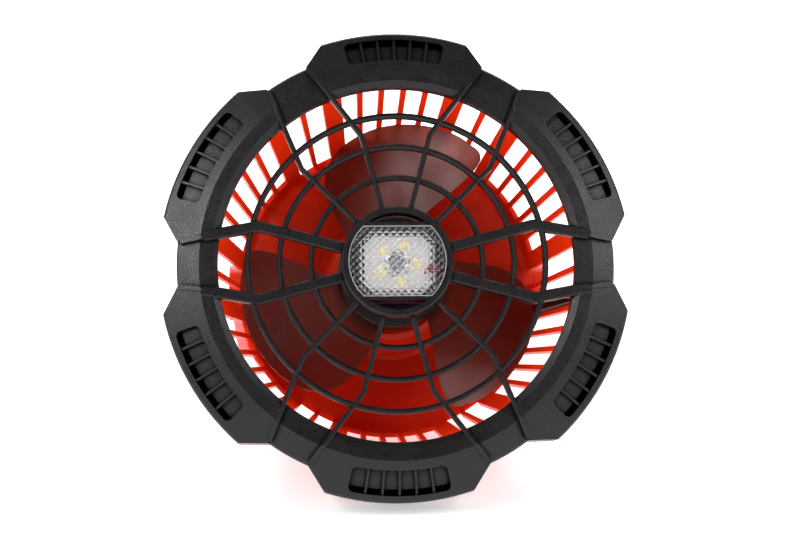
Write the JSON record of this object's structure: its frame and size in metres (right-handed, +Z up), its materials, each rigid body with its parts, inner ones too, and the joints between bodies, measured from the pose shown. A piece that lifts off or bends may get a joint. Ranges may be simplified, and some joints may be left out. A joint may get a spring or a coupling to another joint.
{
  "type": "portable camping fan",
  "caption": "Battery camping fan with a round drum, a bumpered front grille, a lamp at the hub and a U-shaped stand that folds up as a handle.",
  "frame": {"origin": "centre of the footprint's bounding box on the floor", "axes": "+Z up, the fan's face looks towards -Y leaning back 22 degrees, +X to the viewer's right seen from the front"},
  "size_m": [0.225, 0.2562, 0.2212],
  "materials": {
    "guard_black": "fine spark-eroded grain",
    "housing_red": "glossy, slightly translucent",
    "blade_smoke": "smoky translucent, polished",
    "cap_black": "satin",
    "lens_clear": "clear, prismatic",
    "board_white": "solder mask",
    "chip_yellow": "phosphor",
    "board_green": "solder mask",
    "steel": "zinc plated",
    "brass": "machined",
    "copper": "drawn",
    "wire_red": "insulation",
    "rubber_black": "matte",
    "inner_black": "moulded",
    "button_grey": "satin",
    "gauge_clear": "light pipe",
    "cell_blue": "shrink sleeve over a metal can",
    "magnet_dark": "ground"
  },
  "bodies": {
    "fan_body": {"front_guard": "guard_black", "led_lens": "lens_clear", "led_board": "board_white", "led_chips": "chip_yellow", "led_cover": "inner_black", "led_screws": "steel", "led_wires": "wire_red", "cable_cover": "inner_black", "drum_conduit": "inner_black", "rear_housing": "housing_red", "guard_screws": "steel", "motor_can": "steel", "motor_endcap": "inner_black", "front_bushing": "brass", "rear_bushing": "brass", "motor_magnets": "magnet_dark", "motor_brushes": "copper", "motor_screws": "steel", "motor_leads": "wire_red", "battery_housing": "housing_red", "pod_screws": "steel", "rear_panel": "guard_black", "panel_screws": "steel", "battery_cells": "cell_blue", "battery_holder": "inner_black", "control_board": "board_green", "speed_pot": "inner_black", "light_switch": "inner_black", "gauge_lights": "gauge_clear", "port_board": "board_green", "usb_a_socket": "steel", "usb_c_socket": "steel", "port_pin": "steel", "tripod_insert": "brass", "pivot_bolts": "steel", "pivot_nuts": "steel", "friction_washers": "inner_black"},
    "rotor": {"impeller": "blade_smoke", "spinner_cap": "cap_black", "motor_armature": "magnet_dark", "motor_windings": "copper", "commutator": "copper", "motor_shaft": "steel"},
    "stand": {"stand_bail": "housing_red", "foot_pads": "rubber_black"},
    "dial": {"speed_dial": "cap_black", "dial_shaft": "brass"},
    "button": {"light_button": "button_grey"},
    "port_flap": {"port_cover": "rubber_black"}
  },
  "joints": [
    {"name": "impeller_spin", "type": "hinge", "parent": "fan_body", "child": "rotor", "pos_m": [0, -0.02933, 0.09239], "axis": [0, -0.9272, 0.3746], "continuous": true},
    {"name": "stand_tilt", "type": "hinge", "parent": "fan_body", "child": "stand", "pos_m": [0, 0.01703, 0.07366], "axis": [1, 0, 0], "range_deg": [-70, 105]},
    {"name": "dial_turn", "type": "hinge", "parent": "fan_body", "child": "dial", "pos_m": [0, 0.05046, 0.07633], "axis": [0, -0.9272, 0.3746], "range_deg": [0, 240]},
    {"name": "button_press", "type": "slide", "parent": "fan_body", "child": "button", "axis": [0, -0.9272, 0.3746], "range_m": [0, 0.0012], "stiffness_N_per_m": 900},
    {"name": "port_cover_hinge", "type": "hinge", "parent": "fan_body", "child": "port_flap", "pos_m": [0, 0.03552, 0.11996], "axis": [1, 0, 0], "range_deg": [0, 105]}
  ]
}
